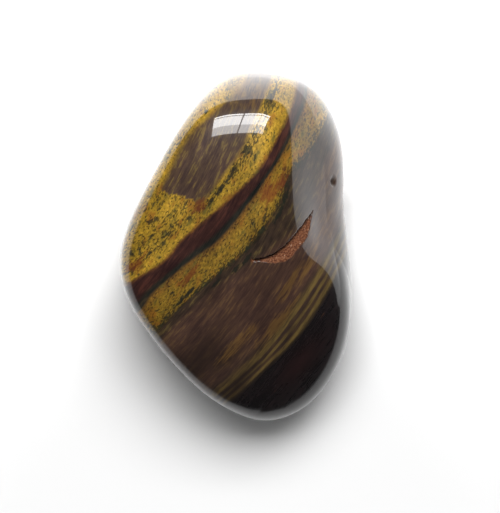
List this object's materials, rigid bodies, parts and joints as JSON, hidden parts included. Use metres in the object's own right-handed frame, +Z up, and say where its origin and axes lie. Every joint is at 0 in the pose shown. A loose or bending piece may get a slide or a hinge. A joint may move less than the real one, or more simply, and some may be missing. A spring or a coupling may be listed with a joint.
{
  "type": "tumbled tiger's eye stone",
  "caption": "Polished, tumbled pebble of banded tiger's eye with a thick rounded end, a thin sloping end, a worn hollow in one flank and a small crescent chip.",
  "frame": {"origin": "on the rest face, under the middle of the stone's bounding box", "axes": "+Y along the stone's length towards its thick end, +X across it towards the hollow flank, +Z up from the rest face"},
  "size_m": [0.0152, 0.0234, 0.0104],
  "materials": {
    "polished_stone": "tumble-polished quartz, glossy, in golden yellow, brown, dark red and black bands"
  },
  "bodies": {
    "root": {"stone": "polished_stone"}
  },
  "joints": []
}
